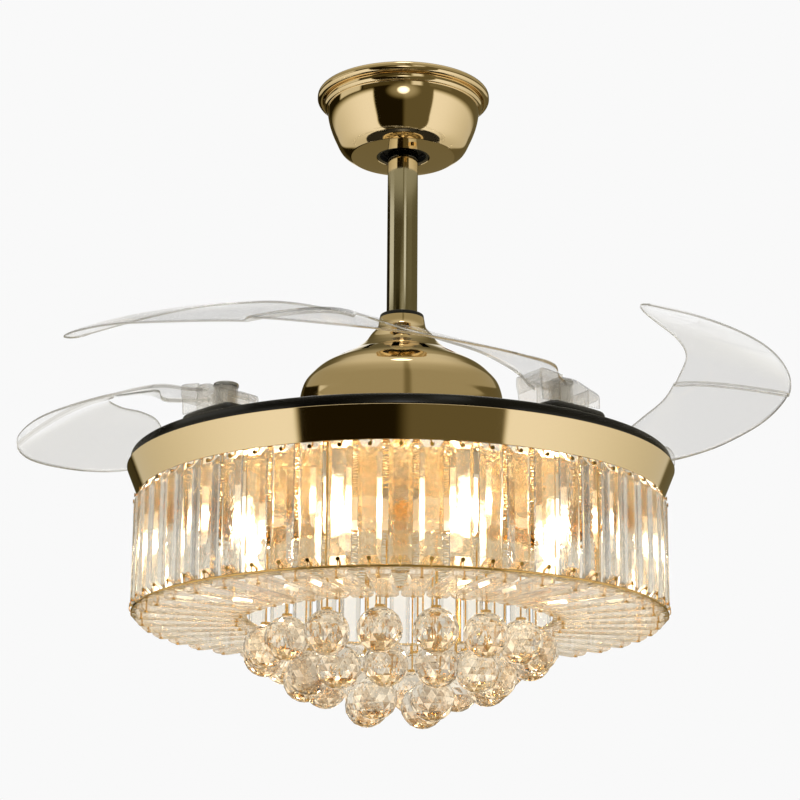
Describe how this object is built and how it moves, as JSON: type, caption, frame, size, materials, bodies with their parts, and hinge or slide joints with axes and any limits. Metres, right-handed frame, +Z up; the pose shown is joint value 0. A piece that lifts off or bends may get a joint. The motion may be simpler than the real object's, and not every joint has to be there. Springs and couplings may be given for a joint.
{
  "type": "chandelier ceiling fan",
  "caption": "Ceiling fan with a gold downrod and motor bell, folding clear blades on a black disc, and a drum of glass bars with faceted glass balls round its lamps.",
  "frame": {"origin": "centre of the ceiling bracket's top face, in the ceiling plane", "axes": "+Z up into the ceiling along the fan's axis, +X to the right and -Y towards the viewer of the picture"},
  "size_m": [0.7097, 0.6633, 0.6035],
  "materials": {
    "gold": "polished gold plating",
    "gold_trim": "polished gold wire and strip",
    "steel": "zinc-plated steel",
    "motor_steel": "laminated electrical steel",
    "copper": "enamelled copper wire",
    "black_enamel": "gloss black enamel",
    "black_rubber": "matt",
    "black_nylon": "moulded nylon",
    "white_plastic": "moulded",
    "white_ceramic": "glazed",
    "clear_acrylic": "clear moulded acrylic",
    "cut_glass": "clear cut glass",
    "lamp_glass": "lit lamp capsule"
  },
  "bodies": {
    "ceiling_mount": {"hanger_bracket": "black_enamel", "ball_seat": "black_nylon", "canopy_rim": "gold", "canopy": "gold", "canopy_screws": "gold_trim", "receiver_box": "white_plastic"},
    "hanging_frame": {"hanger_ball": "black_nylon", "ball_pin": "steel", "downrod": "gold", "rod_collar": "black_enamel", "rod_coupling": "steel", "coupling_bolt": "steel", "motor_cover": "gold", "motor_shaft": "steel", "stator_core": "motor_steel", "stator_windings": "copper", "bearing_inner_rings": "steel", "light_pan": "gold", "shaft_nuts": "steel", "trim_band": "gold", "led_driver": "white_plastic", "lamp_holders": "white_ceramic", "bulbs": "lamp_glass", "drum_bars": "cut_glass", "upper_ring": "gold_trim", "lower_ring": "gold_trim", "drum_links": "gold_trim", "ring_posts": "gold_trim", "spoke_bars": "cut_glass", "spoke_links": "gold_trim", "inner_ring": "gold_trim", "ring_straps": "gold_trim", "centre_stem": "gold_trim", "ball_plate": "gold", "plate_nut": "gold_trim", "ball_hangers": "gold_trim", "outer_crystal_balls": "cut_glass", "middle_crystal_balls": "cut_glass", "lower_crystal_balls": "cut_glass"},
    "rotor": {"rotor_lower_shell": "motor_steel", "rotor_upper_shell": "motor_steel", "rotor_screws": "steel", "magnet_ring": "motor_steel", "bearing_outer_rings": "steel", "bearing_balls": "steel", "blade_disc": "black_enamel", "disc_screws": "steel", "pivot_bases": "black_enamel", "pivot_pins": "steel", "pivot_bushes": "white_plastic", "blade_springs": "steel", "blade_stops": "black_rubber"},
    "blade_1": {"blade_1": "clear_acrylic"},
    "blade_2": {"blade_2": "clear_acrylic"},
    "blade_3": {"blade_3": "clear_acrylic"},
    "blade_4": {"blade_4": "clear_acrylic"}
  },
  "joints": [
    {"name": "rod_sway", "type": "hinge", "parent": "ceiling_mount", "child": "hanging_frame", "pos_m": [0, 0, -0.04], "axis": [0, 1, 0], "range_deg": [-10, 10]},
    {"name": "rotor_spin", "type": "hinge", "parent": "hanging_frame", "child": "rotor", "pos_m": [0, 0, -0.376], "axis": [0, 0, 1], "continuous": true},
    {"name": "blade_1_swing", "type": "hinge", "parent": "rotor", "child": "blade_1", "pos_m": [0.1369, -0.15205, -0.346], "axis": [0, 0, 1], "range_deg": [-34, 50], "stiffness_Nm_per_rad": 0.03, "springref_deg": -34},
    {"name": "blade_2_swing", "type": "hinge", "parent": "rotor", "child": "blade_2", "pos_m": [0.15205, 0.1369, -0.346], "axis": [0, 0, 1], "range_deg": [-34, 50], "stiffness_Nm_per_rad": 0.03, "springref_deg": -34},
    {"name": "blade_3_swing", "type": "hinge", "parent": "rotor", "child": "blade_3", "pos_m": [-0.1369, 0.15205, -0.346], "axis": [0, 0, 1], "range_deg": [-34, 50], "stiffness_Nm_per_rad": 0.03, "springref_deg": -34},
    {"name": "blade_4_swing", "type": "hinge", "parent": "rotor", "child": "blade_4", "pos_m": [-0.15205, -0.1369, -0.346], "axis": [0, 0, 1], "range_deg": [-34, 50], "stiffness_Nm_per_rad": 0.03, "springref_deg": -34}
  ],
  "couplings": [
    {"joint": "blade_2_swing", "follows": "blade_1_swing", "ratio": 1},
    {"joint": "blade_3_swing", "follows": "blade_1_swing", "ratio": 1},
    {"joint": "blade_4_swing", "follows": "blade_1_swing", "ratio": 1}
  ]
}
